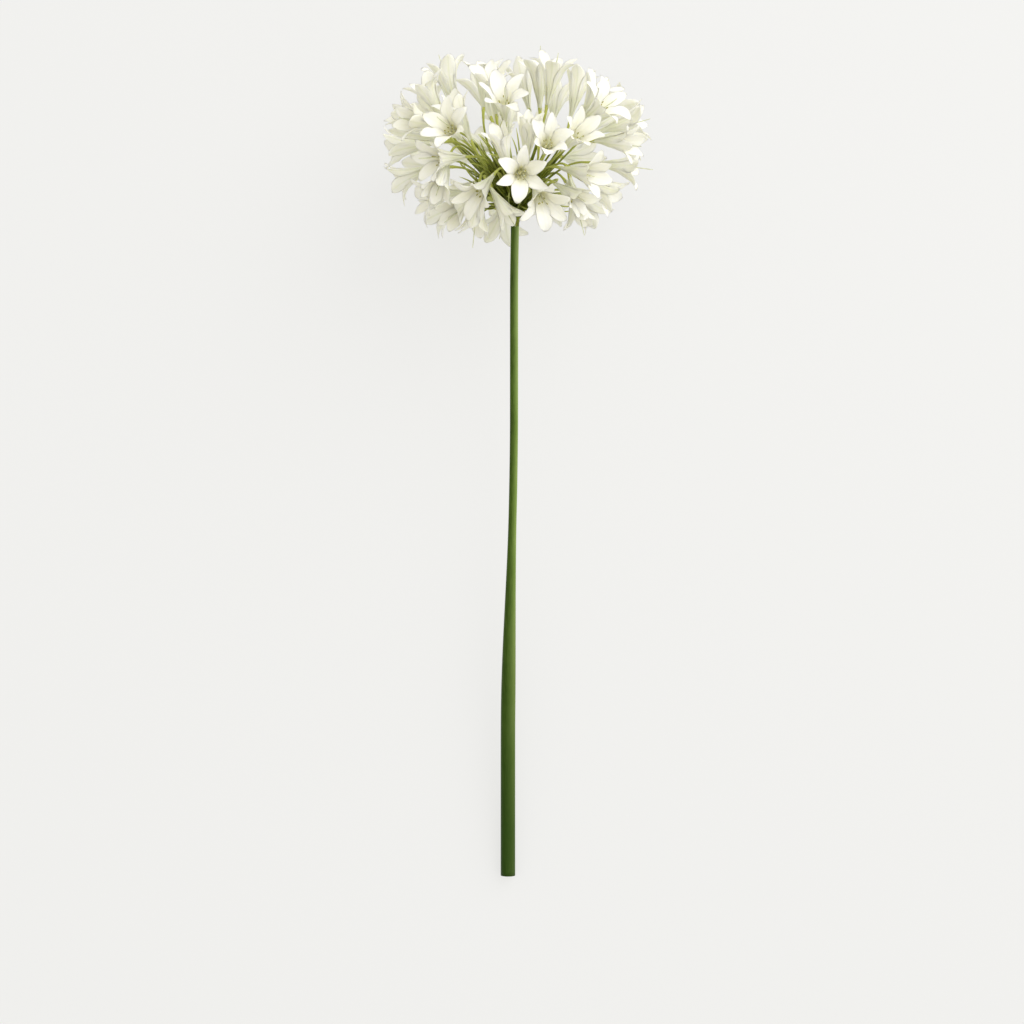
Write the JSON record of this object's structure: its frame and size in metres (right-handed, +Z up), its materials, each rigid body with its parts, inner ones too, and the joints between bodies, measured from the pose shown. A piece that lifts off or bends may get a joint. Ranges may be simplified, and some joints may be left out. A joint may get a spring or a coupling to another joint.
{
  "type": "agapanthus flower head",
  "caption": "Round loose head of white trumpet flowers on thin green stalks, with a long cut flower stem, lying on a flat surface.",
  "frame": {"origin": "on the surface that the flower lies on, under the middle of its box", "axes": "+Y from the cut foot of the stem towards the head, +Z up from the surface, towards the side of the head that faces the eye when it grows upright"},
  "size_m": [0.215, 0.6569, 0.1885],
  "materials": {
    "petal": "satin",
    "bud": "satin",
    "stalk": "satin",
    "scape": "satin"
  },
  "bodies": {
    "root": {"floret_01": "petal", "floret_02": "petal", "floret_03": "petal", "floret_04": "petal", "floret_05": "petal", "floret_06": "petal", "floret_07": "petal", "floret_08": "petal", "floret_09": "petal", "floret_10": "petal", "floret_11": "petal", "floret_12": "petal", "floret_13": "petal", "floret_14": "petal", "floret_15": "petal", "floret_16": "petal", "floret_17": "petal", "floret_18": "petal", "floret_19": "petal", "floret_20": "petal", "floret_21": "petal", "floret_22": "petal", "floret_23": "petal", "floret_24": "petal", "floret_25": "petal", "floret_26": "petal", "floret_27": "petal", "floret_28": "petal", "floret_29": "petal", "floret_30": "petal", "floret_31": "petal", "floret_32": "petal", "floret_33": "petal", "floret_34": "petal", "floret_35": "petal", "floret_36": "petal", "floret_37": "petal", "floret_38": "petal", "floret_39": "petal", "floret_40": "petal", "floret_41": "petal", "floret_42": "petal", "floret_43": "petal", "floret_44": "petal", "floret_45": "petal", "floret_46": "petal", "floret_47": "petal", "floret_48": "petal", "floret_49": "petal", "floret_50": "petal", "floret_51": "petal", "floret_52": "petal", "floret_53": "petal", "floret_54": "petal", "floret_55": "petal", "floret_56": "petal", "bud_01": "bud", "bud_02": "bud", "umbel_stalks": "stalk", "scape": "scape"}
  },
  "joints": []
}
